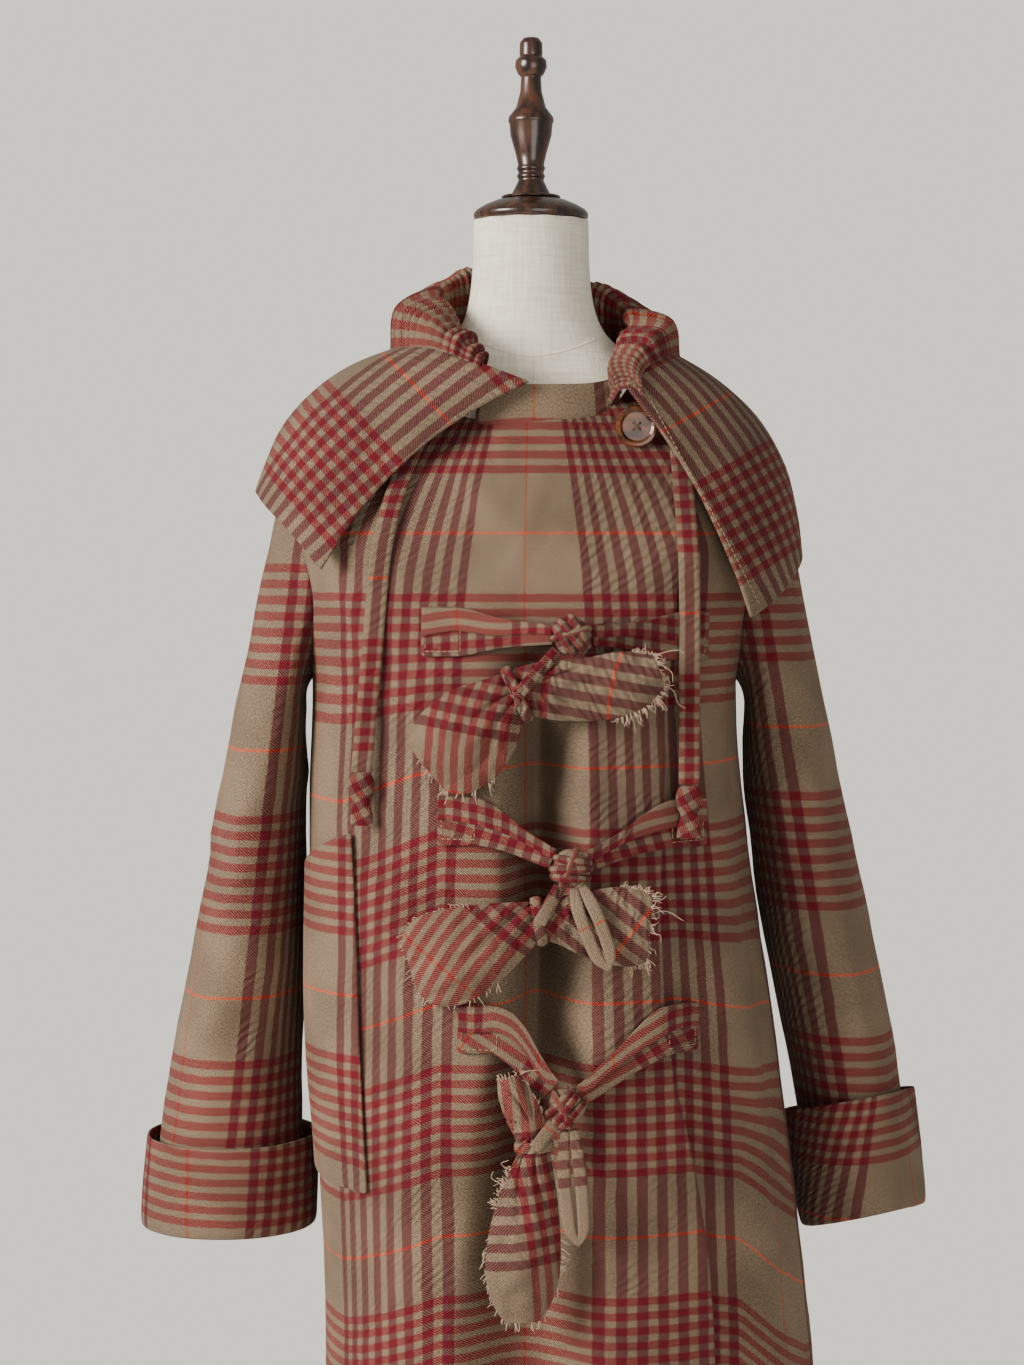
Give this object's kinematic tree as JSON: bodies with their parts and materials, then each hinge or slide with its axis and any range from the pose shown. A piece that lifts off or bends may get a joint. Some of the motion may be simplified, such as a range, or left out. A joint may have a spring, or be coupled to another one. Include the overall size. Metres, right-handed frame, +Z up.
{
  "type": "cocoon coat on a limbless dress form",
  "caption": "Plaid wool cocoon coat with a ruched collar, knotted rag ties and turned-back cuffs, on a limbless dress form with a turned stand.",
  "frame": {"origin": "centre of the base's underside, on the floor", "axes": "+Z up along the stand, -Y out of the front of the coat, +X to the viewer's right"},
  "size_m": [0.7316, 0.4005, 1.664],
  "materials": {
    "plaid_wool": "brushed wool, matte",
    "form_linen": "linen, matte",
    "walnut": "polished",
    "horn_button": "polished horn"
  },
  "bodies": {
    "root": {"back": "plaid_wool", "right_front": "plaid_wool", "left_front": "plaid_wool", "right_sleeve": "plaid_wool", "left_sleeve": "plaid_wool", "right_cuff": "plaid_wool", "left_cuff": "plaid_wool", "collar_fall": "plaid_wool", "collar_stand": "plaid_wool", "neck_band": "plaid_wool", "right_pocket": "plaid_wool", "right_strap": "plaid_wool", "right_strap_knot": "plaid_wool", "left_strap": "plaid_wool", "left_strap_knot": "plaid_wool", "top_tie_left": "plaid_wool", "top_tie_right": "plaid_wool", "top_tie_knot": "plaid_wool", "top_tie_ring": "plaid_wool", "top_tie_tail": "plaid_wool", "top_rag": "plaid_wool", "middle_tie_left": "plaid_wool", "middle_tie_right": "plaid_wool", "middle_tie_knot": "plaid_wool", "middle_tie_loop": "plaid_wool", "middle_tie_ring": "plaid_wool", "middle_tie_tail": "plaid_wool", "middle_rag": "plaid_wool", "bottom_tie_left": "plaid_wool", "bottom_tie_right": "plaid_wool", "bottom_tie_knot": "plaid_wool", "bottom_tie_loop": "plaid_wool", "bottom_tie_ring": "plaid_wool", "bottom_tie_tail": "plaid_wool", "bottom_rag": "plaid_wool", "button": "horn_button", "form_torso": "form_linen", "form_neck_cap": "walnut", "form_finial": "walnut", "form_plate": "walnut", "stand_pole": "walnut", "stand_base": "walnut"}
  },
  "joints": []
}
